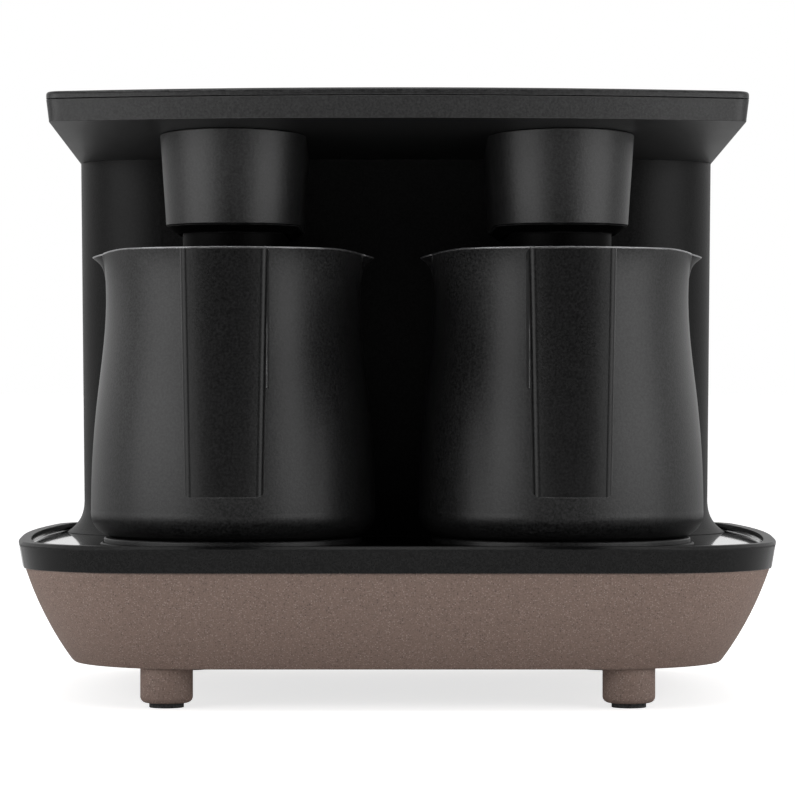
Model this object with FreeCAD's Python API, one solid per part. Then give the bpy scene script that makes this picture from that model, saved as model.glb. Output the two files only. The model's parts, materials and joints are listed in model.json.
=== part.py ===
import FreeCAD, Part
import math
import os

# Two-pot electric coffee maker. Millimetres, +Z up, the front faces -Y.
# The origin is on the table, under the middle of the whole machine.

V = FreeCAD.Vector
SIDES = {"left": -1, "right": 1}

# Clearances
seat_gap = 0.3
slide_gap = 0.3
fit_gap = 0.1
seam_gap = 0.3
pot_pass_gap = 0.8
cut_margin = 1.0

# Places of the two brewing stations
station_x = 54.6
station_y = -27.0

# Feet
pad_radius = 5.6
pad_height = 1.5
pad_stud_radius = 2.0
pad_stud_height = 5.0
leg_radius = 8.5
leg_edge = 2.0
foot_x = 74.6
front_foot_y = -65.0
rear_foot_y = 86.0

# Base tub, the speckled lower housing
tub_bottom = 13.0
tub_height = 31.7
tub_top = tub_bottom + tub_height
tub_middle_rise = 17.0
tub_middle = tub_bottom + tub_middle_rise
tub_wall = 2.5
tub_bottom_half_width = 110.4
tub_middle_half_width = 119.6
tub_bottom_front = 76.6
tub_middle_front = 88.4
tub_bottom_back = 97.0
tub_middle_back = 101.5
tub_corner = 42.0

# Deck, the black tray with the raised lip on top of the tub
deck_half_width = 127.0
deck_front = 96.6
deck_back = 105.0
deck_corner = 45.0
deck_height = 8.5
deck_lip_top = tub_top + deck_height
deck_lip_width = 4.2
deck_well_depth = 2.4
deck_floor_top = deck_lip_top - deck_well_depth
deck_thickness = 2.5
deck_draft = 1.3
deck_bevel = 0.9
tub_setback = 2.0
tub_back_setback = 1.6
tub_top_half_width = deck_half_width - tub_setback
tub_top_front = deck_front - tub_setback
tub_top_back = deck_back - tub_back_setback
side_bow = 3.5
side_widest_y = -12.0
rear_corner = 24.0

# Hotplates and heaters
hotplate_radius = 43.0
hotplate_rise = 0.2
hotplate_top = deck_lip_top + hotplate_rise
hotplate_edge = 0.6
hotplate_boss_radius = 36.0
hotplate_boss_drop = 2.4
heater_coil_radius = 26.0
heater_tube_radius = 3.2
heater_opening = 40.0
heater_terminal_length = 12.0
thermostat_radius = 8.0
thermostat_height = 6.0
thermostat_blade_width = 3.0
thermostat_blade_thickness = 0.8
thermostat_blade_length = 4.0
thermostat_blade_spacing = 8.0

# Column behind the pots
column_front = 39.0
column_back_setback = 6.0
column_back = deck_back - column_back_setback
deck_shoulder = 15.1
column_half_width = deck_half_width - deck_shoulder
column_draft = 1.3
column_corner = 30.0
column_rear_corner = 20.0
column_wall = 2.5
column_height = 132.2
column_top = deck_floor_top + column_height
flare_height = 13.0
flare_reach = 6.4

# Head, the wedge that overhangs the pots
head_step = 0.9
head_half_width = column_half_width + column_draft + head_step
head_front = 79.0
head_front_corner_y = 58.0
head_corner = 6.0
head_wedge_rise = 6.3
head_front_bottom = column_top + head_wedge_rise
head_rim_draft = 0.9
head_rim_height = 7.1
head_seam = head_front_bottom + head_rim_height
head_wall = 2.2
cover_height = 2.6
cover_top = head_seam + cover_height
cover_edge = 1.0
cover_rib_width = 1.2
cover_rib_drop = 2.0
cover_rib_gap = 0.7

# Height of the pots on their hotplates
pot_height = 94.5
pot_rim_top = hotplate_top + slide_gap + pot_height

# Arms that come down over the pots
arm_top_radius = 24.5
arm_bottom_radius = 22.3
arm_wall = 2.0
sensor_flange_radius = 22.0
sensor_flange_neck = 18.6
sensor_block_radius = 16.8
sensor_block_bottom = pot_rim_top + pot_pass_gap
sensor_block_height = 5.2
sensor_flange_bottom = sensor_block_bottom + sensor_block_height
sensor_flange_height = 2.8
arm_bottom = sensor_flange_bottom + sensor_flange_height
sensor_block_wall = 1.8
lens_radius = 3.0
lens_height = 2.4
lens_recess = 0.4
lens_collar_width = 1.2

# Controls on top of the head
button_radius = 8.0
button_spacing = 27.0
button_y = -53.0
button_rise = 0.9
button_travel = 0.8
button_flange_width = 1.4
button_flange_height = 0.5
button_dish = 0.4
button_edge = 0.5
switch_size = 6.0
switch_height = 1.3
switch_plunger_rise = 0.4
switch_plunger_radius = 1.8
light_radius = 1.4
board_thickness = 1.2
board_half_width = 84.0
board_front = -66.0
board_back = -26.0
board_drop = 4.0
board_bottom = head_seam - board_drop
board_post_radius = 2.5
board_post_inset = 5.0

# Pots
pot_base_radius = 40.5
pot_belly_radius = 47.3
pot_belly_rise = 8.8
pot_neck_radius = 42.4
pot_rim_radius = 44.0
pot_wall = 0.9
pot_floor = 1.2
pot_foot_inset = 1.9
pot_foot_rise = 2.6
pot_neck_drop = 11.0
spout_axis = 39.4
spout_reach = 47.0
spout_dip_start = 32.0
spout_dip_radius = 52.0
spout_throat = 2.8
spout_drop = 13.0
spout_lip_drop = 2.0
spout_lip_reach = 1.6
spout_lip_rise = 0.4
trim_margin = 10.0

# Pot handles
handle_front = 78.0
handle_thickness = 12.0
handle_drop = 1.4
handle_top = pot_rim_top - handle_drop
handle_length = 78.1
handle_bottom = handle_top - handle_length
handle_top_half_width = 13.7
handle_bottom_half_width = 12.2
handle_crown = 1.7
handle_edge = 2.0
handle_foot_margin = 0.5
handle_foot_radius = 2.6
handle_flange = 3.0
bracket_length = 43.8
bracket_bottom = handle_top - bracket_length
bracket_half_width = 13.3
bracket_wall = 1.6
bracket_plate = 2.0
handle_screw_radius = 1.4
handle_screw_head = 2.6
handle_screw_head_height = 1.8
handle_screw_depth = 7.0
handle_screw_drop = 12.8
handle_screw_spacing = 22.0

# Rear cover, cord gland and screws
cover_plate = 2.4
cover_margin = 4.0
ledge_width = 12.0
ledge_thickness = 2.5
ledge_boss_radius = 3.4
vent_count = 13
vent_pitch = 9.0
vent_width = 3.0
vent_height = 26.0
vent_rise = 47.2
vent_bottom = deck_floor_top + vent_rise
gland_rise = 29.2
gland_z = deck_floor_top + gland_rise
gland_radius = 6.5
gland_flange_radius = 8.5
gland_flange = 2.2
gland_bore = 3.6
gland_length = 9.0
cover_screw_radius = 1.4
cover_screw_head = 2.9
cover_screw_head_height = 1.0
cover_screw_length = 8.0
cover_screw_inset = 6.0
base_screw_x = 88.0
base_screw_front_y = -52.0
base_screw_rear_y = 66.0
base_screw_radius = 1.4
base_screw_head = 3.0
base_screw_head_height = 1.6
base_post_radius = 4.5

# Power board inside the tub
power_board_length = 90.0
power_board_width = 46.0
power_board_y = 62.0
power_board_rise = 9.0
power_board_z = tub_bottom + power_board_rise
relay_size = (18.0, 14.0, 14.0)
relay_offset = 24.0
terminal_size = (26.0, 12.0, 10.0)
terminal_offset = 12.0
terminal_hole_radius = 2.4
terminal_hole_depth = 3.0
relay_y_offset = 8.0


def cylinder(x, y, z_low, z_high, radius):
    return Part.makeCylinder(radius, z_high - z_low, V(x, y, z_low))


def rod(x, y_start, z, length, radius):
    return Part.makeCylinder(radius, length, V(x, y_start, z), V(0, 1, 0))


def block(x_low, x_high, y_low, y_high, z_low, z_high):
    return Part.makeBox(x_high - x_low, y_high - y_low, z_high - z_low, V(x_low, y_low, z_low))


def prism_along_y(points, y_low, y_high):
    corners = [V(x, y_low, z) for x, z in points]
    face = Part.Face(Part.makePolygon(corners + [corners[0]]))
    return face.extrude(V(0, y_high - y_low, 0))


def line(start, end):
    return Part.LineSegment(start, end).toShape()


def arc(start, middle, end):
    return Part.Arc(start, middle, end).toShape()


def around(centre, radius, angle):
    turn = math.radians(angle)
    return centre + V(radius * math.cos(turn), radius * math.sin(turn), 0)


def mirrored(point):
    return V(-point.x, point.y, point.z)


def closed_wire(right_half):
    """Joins a right-hand run of edges, given as point groups, with its mirror image."""
    edges = []
    for group in right_half:
        edges.append(line(*group) if len(group) == 2 else arc(*group))
    for group in reversed(right_half):
        back = [mirrored(point) for point in reversed(group)]
        edges.append(line(*back) if len(back) == 2 else arc(*back))
    return Part.Wire(edges)


def base_wire(half_width, front, back, corner, z, inset=0.0):
    """Outline of the base: straight front, large front corners and bowed sides."""
    width = half_width - inset
    radius = corner - inset
    centre = V(half_width - side_bow - corner, corner - front, z)
    front_end = around(centre, radius, -90)
    corner_end = around(centre, radius, -15)
    widest = V(width, side_widest_y, z)
    rear_radius = rear_corner - inset
    rear_centre = V(half_width - side_bow - rear_corner, back - rear_corner, z)
    side_end = around(rear_centre, rear_radius, 8)
    rear_middle = around(rear_centre, rear_radius, 50)
    back_end = around(rear_centre, rear_radius, 90)
    return closed_wire([
        (V(0, front_end.y, z), front_end),
        (front_end, around(centre, radius, -50), corner_end),
        (corner_end, widest, side_end),
        (side_end, rear_middle, back_end),
        (back_end, V(0, back_end.y, z)),
    ])


def column_wire(half_width, z, reach=0.0, inset=0.0):
    """Outline of the column; reach pushes the front and sides out, and the back stays."""
    width = half_width + reach - inset
    front = column_front - reach + inset
    back = column_back - inset
    radius = column_corner + reach - inset
    rear_radius = column_rear_corner - inset
    centre = V(width - radius, front + radius, z)
    rear_centre = V(width - rear_radius, back - rear_radius, z)
    return closed_wire([
        (V(0, front, z), around(centre, radius, -90)),
        (around(centre, radius, -90), around(centre, radius, -45), around(centre, radius, 0)),
        (around(centre, radius, 0), around(rear_centre, rear_radius, 0)),
        (around(rear_centre, rear_radius, 0), around(rear_centre, rear_radius, 45),
         around(rear_centre, rear_radius, 90)),
        (around(rear_centre, rear_radius, 90), V(0, back, z)),
    ])


def head_wire(z, inset=0.0):
    """Outline of the head: bowed front, tight front corners and straight sides."""
    width = head_half_width - inset
    radius = head_corner - inset
    centre = V(head_half_width - head_corner, -head_front_corner_y, z)
    rear_radius = column_rear_corner - inset
    rear_centre = V(width - rear_radius, column_back - column_rear_corner, z)
    front_end = around(centre, radius, -80)
    nose = V(0, -head_front + inset, z)
    bow_middle = V(front_end.x * 0.5, nose.y + (front_end.y - nose.y) * 0.25, z)
    return closed_wire([
        (nose, bow_middle, front_end),
        (front_end, around(centre, radius, -40), around(centre, radius, 0)),
        (around(centre, radius, 0), around(rear_centre, rear_radius, 0)),
        (around(rear_centre, rear_radius, 0), around(rear_centre, rear_radius, 45),
         around(rear_centre, rear_radius, 90)),
        (around(rear_centre, rear_radius, 90), V(0, column_back - inset, z)),
    ])


def arm_wire(radius, z, back):
    """U-shaped outline of an arm, round at the front and straight back to the column."""
    left = V(-radius, station_y, z)
    right = V(radius, station_y, z)
    edges = [
        arc(left, V(0, station_y - radius, z), right),
        line(right, V(radius, back, z)),
        line(V(radius, back, z), V(-radius, back, z)),
        line(V(-radius, back, z), left),
    ]
    return Part.Wire(edges)


def raised(wire, height):
    return Part.Face(wire).extrude(V(0, 0, height))


def loft(wires, straight=False):
    return Part.makeLoft(wires, True, straight)


def at_station(shape, side):
    return shape.translated(V(SIDES[side] * station_x, 0, 0))


def head_solid(inset):
    """Filled head: a wedge that grows out of the column's outline, with an upright rim above."""
    half_width = column_half_width + column_draft
    low = column_wire(half_width, column_top + inset, 0, inset)
    knee = head_wire(head_front_bottom + inset, head_rim_draft + inset)
    high = head_wire(head_seam, inset)
    return loft([low, knee], True).fuse(loft([knee, high], True))


def foot_places():
    return {
        "front_left": (-foot_x, front_foot_y),
        "front_right": (foot_x, front_foot_y),
        "rear_left": (-foot_x, rear_foot_y),
        "rear_right": (foot_x, rear_foot_y),
    }


def make_foot_leg(x, y):
    leg = cylinder(x, y, pad_height, tub_bottom, leg_radius)
    lower_edge = [edge for edge in leg.Edges if edge.BoundBox.ZMax < pad_height + 0.01]
    leg = leg.makeFillet(leg_edge, lower_edge)
    socket_top = pad_height + pad_stud_height + seat_gap
    return leg.cut(cylinder(x, y, pad_height, socket_top, pad_stud_radius + fit_gap))


def make_foot_pad(x, y):
    disc = cylinder(x, y, 0, pad_height, pad_radius)
    return disc.fuse(cylinder(x, y, pad_height, pad_height + pad_stud_height, pad_stud_radius))


def tub_solid(inset, floor):
    sections = [
        base_wire(tub_bottom_half_width, tub_bottom_front, tub_bottom_back, tub_corner, floor, inset),
        base_wire(tub_middle_half_width, tub_middle_front, tub_middle_back, tub_corner,
                  tub_middle, inset),
        base_wire(tub_top_half_width, tub_top_front, tub_top_back, tub_corner, tub_top, inset),
    ]
    return loft(sections)


def base_screw_places():
    return [(side * base_screw_x, y) for side in (-1, 1)
            for y in (base_screw_front_y, base_screw_rear_y)]


def make_tub():
    inner_floor = tub_bottom + tub_wall
    shell = tub_solid(0, tub_bottom).cut(tub_solid(tub_wall, inner_floor))
    post_top = deck_floor_top - deck_thickness
    for x, y in base_screw_places():
        shell = shell.fuse(cylinder(x, y, inner_floor, post_top, base_post_radius))
        shell = shell.cut(cylinder(x, y, tub_bottom, post_top, base_screw_radius + fit_gap))
        head_room = tub_bottom + base_screw_head_height + seat_gap
        shell = shell.cut(cylinder(x, y, tub_bottom, head_room, base_screw_head + fit_gap))
    for x_sign in (-1, 1):
        for y_sign in (-1, 1):
            x = x_sign * (power_board_length / 2 - board_post_radius)
            y = power_board_y + y_sign * (power_board_width / 2 - board_post_radius)
            shell = shell.fuse(cylinder(x, y, inner_floor, power_board_z, board_post_radius))
    return shell.removeSplitter()


def make_base_screws():
    shank_top = deck_floor_top - deck_thickness - seat_gap
    screws = []
    for x, y in base_screw_places():
        head_bottom = tub_bottom + seat_gap
        head = cylinder(x, y, head_bottom, head_bottom + base_screw_head_height, base_screw_head)
        screws.append(head.fuse(cylinder(x, y, head_bottom, shank_top, base_screw_radius)))
    return Part.makeCompound(screws)


def make_deck():
    low = base_wire(deck_half_width, deck_front, deck_back, deck_corner, tub_top, deck_draft)
    bevel_z = deck_lip_top - deck_bevel
    high = base_wire(deck_half_width, deck_front, deck_back, deck_corner, bevel_z)
    crest = base_wire(deck_half_width, deck_front, deck_back, deck_corner, deck_lip_top, deck_bevel)
    deck = loft([low, high], True).fuse(loft([high, crest], True))
    well_height = deck_lip_top - deck_floor_top
    well = base_wire(deck_half_width, deck_front, deck_back, deck_corner, deck_floor_top,
                     deck_lip_width)
    deck = deck.cut(raised(well, well_height))
    skirt_inset = deck_draft + deck_thickness
    hollow = base_wire(deck_half_width, deck_front, deck_back, deck_corner, tub_top, skirt_inset)
    deck = deck.cut(raised(hollow, deck_floor_top - deck_thickness - tub_top))
    for side in SIDES.values():
        opening = hotplate_boss_radius + seat_gap
        deck = deck.cut(cylinder(side * station_x, station_y, tub_top, deck_lip_top, opening))
    return deck.removeSplitter()


def make_hotplate(side):
    x = SIDES[side] * station_x
    plate = cylinder(x, station_y, deck_floor_top, hotplate_top, hotplate_radius)
    rim = [edge for edge in plate.Edges if edge.BoundBox.ZMin > hotplate_top - 0.01]
    plate = plate.makeFillet(hotplate_edge, rim)
    boss_bottom = deck_floor_top - deck_thickness - hotplate_boss_drop
    return plate.fuse(cylinder(x, station_y, boss_bottom, deck_floor_top, hotplate_boss_radius))


def heater_top():
    return deck_floor_top - deck_thickness - hotplate_boss_drop


def make_heater(side):
    """Open ring of sheathed heating tube with two straight terminals towards the back."""
    centre = V(SIDES[side] * station_x, station_y, heater_top() - heater_tube_radius)
    start = around(centre, heater_coil_radius, 90 + heater_opening)
    end = around(centre, heater_coil_radius, 90 - heater_opening)
    ring = arc(start, around(centre, heater_coil_radius, -90), end)
    profile = Part.Wire([Part.makeCircle(heater_tube_radius, start, (start - centre).cross(V(0, 0, 1)))])
    tube = Part.Wire([ring]).makePipeShell([profile], True, False)
    for tip in (start, end):
        tube = tube.fuse(Part.makeSphere(heater_tube_radius, tip))
        tube = tube.fuse(rod(tip.x, tip.y, tip.z, heater_terminal_length, heater_tube_radius))
    return tube.removeSplitter()


def make_thermostat(side):
    x = SIDES[side] * station_x
    top = heater_top()
    body = cylinder(x, station_y, top - thermostat_height, top, thermostat_radius)
    blade_low = top - thermostat_height - thermostat_blade_length
    half_width = thermostat_blade_width / 2
    half_thickness = thermostat_blade_thickness / 2
    for sign in SIDES.values():
        middle = x + sign * thermostat_blade_spacing / 2
        body = body.fuse(block(middle - half_width, middle + half_width,
                               station_y - half_thickness, station_y + half_thickness,
                               blade_low, top - thermostat_height))
    return body


def make_power_board():
    half_length = power_board_length / 2
    half_width = power_board_width / 2
    return block(-half_length, half_length, power_board_y - half_width, power_board_y + half_width,
                 power_board_z, power_board_z + board_thickness)


def on_power_board(size, x, y):
    length, width, height = size
    low = power_board_z + board_thickness
    return block(x - length / 2, x + length / 2, y - width / 2, y + width / 2, low, low + height)


def make_terminal_block():
    body = on_power_board(terminal_size, 0, power_board_y + terminal_offset)
    length, width, height = terminal_size
    top = power_board_z + board_thickness + height
    for step in (-1, 0, 1):
        x = step * length / 3
        body = body.cut(cylinder(x, power_board_y + terminal_offset, top - terminal_hole_depth, top,
                                  terminal_hole_radius))
    return body


def column_half_width_at(z):
    share = (z - deck_floor_top) / (column_top - deck_floor_top)
    return column_half_width + column_draft * share


def make_column():
    flare_top = deck_floor_top + flare_height
    sections = []
    for share in (0.0, 0.12, 0.35, 0.65, 1.0):
        z = deck_floor_top + flare_height * share
        reach = flare_reach * (1 - share) ** 3
        sections.append(column_wire(column_half_width_at(z), z, reach))
    flare = loft(sections)
    low = column_wire(column_half_width_at(flare_top), flare_top)
    high = column_wire(column_half_width_at(column_top), column_top)
    outer = flare.fuse(loft([low, high], True))
    inner_low = column_wire(column_half_width, deck_floor_top, 0, column_wall)
    inner_high = column_wire(column_half_width + column_draft, column_top, 0, column_wall)
    shell = outer.cut(loft([inner_low, inner_high], True))
    reach = column_half_width + column_draft
    rebate_low = column_back - cover_plate - seat_gap
    ledge_low = rebate_low - ledge_thickness
    back_wall = outer.common(block(-reach, reach, ledge_low, column_back, deck_floor_top, column_top))
    shell = shell.fuse(back_wall)
    for x, z in cover_screw_places():
        boss_low = column_back - cover_plate - cover_screw_length
        shell = shell.fuse(rod(x, boss_low, z, ledge_low - boss_low, ledge_boss_radius))
        shell = shell.cut(rod(x, boss_low, z, cover_screw_length, cover_screw_radius + fit_gap))
    outside = column_back + cut_margin
    shell = shell.cut(prism_along_y(rear_opening(seat_gap), rebate_low, outside))
    shell = shell.cut(prism_along_y(rear_opening(-ledge_width), ledge_low - cut_margin, outside))
    return shell.removeSplitter()


def rear_opening(grow):
    """Corner points of the rear cover's outline, grown by the given gap."""
    low_z = deck_floor_top + cover_margin
    high_z = column_top - cover_margin
    low_x = column_half_width_at(low_z) - column_rear_corner
    high_x = column_half_width_at(high_z) - column_rear_corner
    return [
        (-low_x - grow, low_z - grow),
        (low_x + grow, low_z - grow),
        (high_x + grow, high_z + grow),
        (-high_x - grow, high_z + grow),
    ]


def cover_screw_places():
    low_x = column_half_width - column_rear_corner - cover_screw_inset
    low_z = deck_floor_top + cover_margin + cover_screw_inset
    high_z = column_top - cover_margin - cover_screw_inset
    return [(side * low_x, z) for side in (-1, 1) for z in (low_z, high_z)]


def make_rear_cover():
    plate = prism_along_y(rear_opening(0), column_back - cover_plate, column_back)
    first = -(vent_count - 1) / 2 * vent_pitch
    for number in range(vent_count):
        x = first + number * vent_pitch
        plate = plate.cut(block(x - vent_width / 2, x + vent_width / 2,
                                column_back - cover_plate - cut_margin, column_back + cut_margin,
                                vent_bottom, vent_bottom + vent_height))
    plate = plate.cut(rod(0, column_back - cover_plate - cut_margin, gland_z, cover_plate + 2 * cut_margin,
                          gland_radius + fit_gap))
    for x, z in cover_screw_places():
        plate = plate.cut(rod(x, column_back - cover_plate - cut_margin, z, cover_plate + 2 * cut_margin,
                              cover_screw_radius + fit_gap))
    return plate


def make_cover_screws():
    screws = []
    for x, z in cover_screw_places():
        head = rod(x, column_back, z, cover_screw_head_height, cover_screw_head)
        shank = rod(x, column_back - cover_screw_length, z, cover_screw_length, cover_screw_radius)
        screws.append(head.fuse(shank))
    return Part.makeCompound(screws)


def make_cord_gland():
    inside = column_back + gland_flange - gland_length
    body = rod(0, inside, gland_z, gland_length, gland_radius)
    body = body.fuse(rod(0, column_back, gland_z, gland_flange, gland_flange_radius))
    return body.cut(rod(0, inside, gland_z, gland_length, gland_bore))


def make_head_shell():
    outer = head_solid(0)
    shell = outer.cut(head_solid(head_wall))
    for x_sign in (-1, 1):
        for y in (board_front + board_post_inset, board_back - board_post_inset):
            x = x_sign * (board_half_width - board_post_inset)
            post = cylinder(x, y, column_top, board_bottom, board_post_radius)
            shell = shell.fuse(post.common(outer))
    return shell.removeSplitter()


def button_places(side):
    centre = SIDES[side] * station_x
    return {"brew": centre - SIDES[side] * button_spacing / 2,
            "cups": centre + SIDES[side] * button_spacing / 2}


def make_top_cover():
    bottom = head_seam + seam_gap
    plate = raised(head_wire(bottom), cover_top - bottom)
    upper = [edge for edge in plate.Edges if edge.BoundBox.ZMin > cover_top - 0.01]
    plate = plate.makeFillet(cover_edge, upper)
    rib_inset = head_wall + cover_rib_gap
    rib = raised(head_wire(bottom - cover_rib_drop, rib_inset), cover_rib_drop)
    rib = rib.cut(raised(head_wire(bottom - cover_rib_drop, rib_inset + cover_rib_width),
                         cover_rib_drop))
    plate = plate.fuse(rib)
    for side in SIDES:
        for x in button_places(side).values():
            plate = plate.cut(cylinder(x, button_y, bottom, cover_top, button_radius + slide_gap))
        x = SIDES[side] * station_x
        plate = plate.cut(cylinder(x, button_y, bottom, cover_top, light_radius + fit_gap))
    return plate


def switch_top():
    return board_bottom + board_thickness + switch_height


def make_button(x):
    """Round push button with a dished top and a flange that stays under the cover."""
    flange_bottom = switch_top() + button_travel + fit_gap
    flange_top = flange_bottom + button_flange_height
    top = cover_top + button_rise
    flange = cylinder(x, button_y, flange_bottom, flange_top, button_radius + button_flange_width)
    cap = cylinder(x, button_y, flange_bottom, top, button_radius)
    rim = [edge for edge in cap.Edges if edge.BoundBox.ZMin > top - 0.01]
    cap = cap.makeChamfer(button_edge, rim)
    dish_rim = button_radius - 2 * button_edge
    dish_radius = (dish_rim ** 2 + button_dish ** 2) / (2 * button_dish)
    dish = Part.makeSphere(dish_radius, V(x, button_y, top - button_dish + dish_radius))
    return flange.fuse(cap).cut(dish).removeSplitter()


def make_switch(x):
    half = switch_size / 2
    low = board_bottom + board_thickness
    high = switch_top() - switch_plunger_rise
    body = block(x - half, x + half, button_y - half, button_y + half, low, high)
    return body.fuse(cylinder(x, button_y, high, switch_top(), switch_plunger_radius))


def make_indicator(side):
    x = SIDES[side] * station_x
    return cylinder(x, button_y, board_bottom + board_thickness + fit_gap, cover_top, light_radius)


def make_control_board():
    return block(-board_half_width, board_half_width, board_front, board_back,
                 board_bottom, board_bottom + board_thickness)


def make_arm(side):
    back = column_front - seat_gap
    outer = loft([arm_wire(arm_bottom_radius, arm_bottom, back),
                  arm_wire(arm_top_radius, head_front_bottom, back)], True)
    inner_back = back - arm_wall
    inner = loft([arm_wire(arm_bottom_radius - arm_wall, arm_bottom, inner_back),
                  arm_wire(arm_top_radius - arm_wall, head_front_bottom, inner_back)],
                 True)
    arm = at_station(outer.cut(inner), side)
    return arm.cut(head_solid(0).translated(V(0, 0, -seat_gap)))


def make_sensor_housing(side):
    """Black plug under the arm: a chamfered flange and a narrower block above the pot."""
    back = column_front - seat_gap
    flange_top = arm_bottom - seam_gap
    flange = loft([arm_wire(sensor_flange_neck, sensor_flange_bottom, back),
                   arm_wire(sensor_flange_radius, flange_top, back)], True)
    depth = sensor_flange_bottom - sensor_block_bottom
    plug = raised(arm_wire(sensor_block_radius, sensor_block_bottom, back), depth)
    housing = flange.fuse(plug)
    inside = sensor_block_radius - sensor_block_wall
    hollow = raised(arm_wire(inside, sensor_block_bottom + sensor_block_wall, back - sensor_block_wall),
                    flange_top - sensor_block_bottom)
    housing = housing.cut(hollow)
    window = cylinder(0, station_y, sensor_block_bottom, flange_top, lens_radius + fit_gap)
    return at_station(housing.cut(window).removeSplitter(), side)


def make_sensor_lens(side):
    low = sensor_block_bottom + lens_recess
    lens = cylinder(0, station_y, low, low + lens_height, lens_radius)
    inner_floor = sensor_block_bottom + sensor_block_wall + fit_gap
    collar = cylinder(0, station_y, inner_floor, low + lens_height, lens_radius + lens_collar_width)
    return at_station(lens.fuse(collar), side)


def pot_bottom():
    return hotplate_top + slide_gap


def pot_side_curve(shrink):
    """Side of the pot from the belly up to the rim, drawn in by the wall where asked."""
    bottom = pot_bottom()
    height = pot_rim_top - bottom
    narrowing = pot_belly_radius - pot_neck_radius
    neck_z = pot_rim_top - pot_neck_drop
    points = [
        V(pot_belly_radius - shrink, 0, bottom + pot_belly_rise),
        V(pot_belly_radius - narrowing * 0.42 - shrink, 0, bottom + height * 0.48),
        V(pot_neck_radius - shrink, 0, neck_z),
        V(pot_rim_radius - shrink, 0, pot_rim_top),
    ]
    curve = Part.BSplineCurve()
    curve.interpolate(Points=points, InitialTangent=V(0, 0, 1), FinalTangent=V(0.35, 0, 1))
    return curve.toShape(), points[0], points[-1]


def pot_profile(shrink, floor_rise):
    """Closed half outline of the pot as a filled shape, smaller by shrink."""
    bottom = pot_bottom() + floor_rise
    side, belly, rim = pot_side_curve(shrink)
    foot = V(pot_base_radius - shrink, 0, bottom)
    corner = V(pot_belly_radius - shrink - pot_foot_inset, 0, bottom + pot_foot_rise)
    edges = [
        line(V(0, 0, bottom), foot),
        arc(foot, corner, belly),
        side,
        line(rim, V(0, 0, pot_rim_top)),
        line(V(0, 0, pot_rim_top), V(0, 0, bottom)),
    ]
    return Part.Face(Part.Wire(edges)).revolve(V(0, 0, 0), V(0, 0, 1), 360)


def spout_horn(shrink):
    """Flared horn whose lip makes one pouring spout."""
    flare = spout_reach - spout_axis
    low = pot_rim_top - spout_drop
    points = [
        V(spout_throat - shrink, 0, low),
        V(spout_throat + flare * 0.09 - shrink, 0, low + spout_drop * 0.4),
        V(spout_throat + flare * 0.27 - shrink, 0, low + spout_drop * 0.66),
        V(flare - shrink, 0, pot_rim_top - spout_lip_drop),
        V(flare + spout_lip_reach - shrink, 0, pot_rim_top + spout_lip_rise),
    ]
    curve = Part.BSplineCurve()
    curve.interpolate(Points=points)
    edges = [
        line(V(0, 0, low), points[0]),
        curve.toShape(),
        line(points[-1], V(0, 0, points[-1].z)),
        line(V(0, 0, points[-1].z), V(0, 0, low)),
    ]
    horn = Part.Face(Part.Wire(edges)).revolve(V(0, 0, 0), V(0, 0, 1), 360)
    return horn.translated(V(spout_axis, 0, 0))


def turned_half(shape):
    copy = shape.copy()
    copy.rotate(V(0, 0, 0), V(0, 0, 1), 180)
    return copy


def pot_outer():
    outer = pot_profile(0, 0)
    horn = spout_horn(0)
    return outer.fuse([horn, turned_half(horn)])


def rim_trim():
    """Tool that levels the rim and lets it dip in an arc towards both spouts."""
    reach = pot_belly_radius + 2 * trim_margin
    axis_z = pot_rim_top - spout_dip_radius
    above = block(spout_dip_start, reach, -reach, reach, pot_rim_top - spout_drop,
                  pot_rim_top + trim_margin)
    keep = Part.makeCylinder(spout_dip_radius, 2 * reach, V(spout_dip_start, -reach, axis_z),
                             V(0, 1, 0))
    wedge = above.cut(keep)
    lid = block(-reach, reach, -reach, reach, pot_rim_top, pot_rim_top + trim_margin)
    return lid.fuse([wedge, turned_half(wedge)])


def make_pot_body(side):
    outer = pot_outer()
    inner = pot_profile(pot_wall, pot_floor)
    horn = spout_horn(pot_wall)
    pot = outer.cut(inner)
    pot = pot.cut(horn).cut(turned_half(horn))
    pot = pot.cut(rim_trim())
    return at_station(pot.translated(V(0, station_y, 0)), side)


def handle_wire(half_width, z):
    """Plan section of the grip: flat back, softly crowned front and rounded corners."""
    front = station_y - handle_front
    back = front + handle_thickness
    shoulder = front + handle_crown
    corner = shoulder + handle_edge
    tuck = handle_edge * 0.29
    left = [
        V(-half_width, corner, z),
        V(-half_width + tuck, shoulder + tuck, z),
        V(-half_width + handle_edge, shoulder, z),
    ]
    right = [mirrored(point) for point in reversed(left)]
    edges = [
        line(V(-half_width, back, z), left[0]),
        arc(*left),
        arc(left[2], V(0, front, z), right[0]),
        arc(*right),
        line(right[2], V(half_width, back, z)),
        line(V(half_width, back, z), V(-half_width, back, z)),
    ]
    return Part.Wire(edges)


def pot_wall_clear(gap):
    """The pot's outside, grown by a gap, as the cutter for what is fixed to it."""
    grown = pot_profile(-gap, -gap)
    return grown.translated(V(0, station_y, 0))


def handle_screw_heights():
    upper = handle_top - handle_screw_drop
    return (upper - handle_screw_spacing, upper)


def handle_screw_start():
    return station_y - handle_front + handle_thickness + seat_gap + bracket_plate


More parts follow.
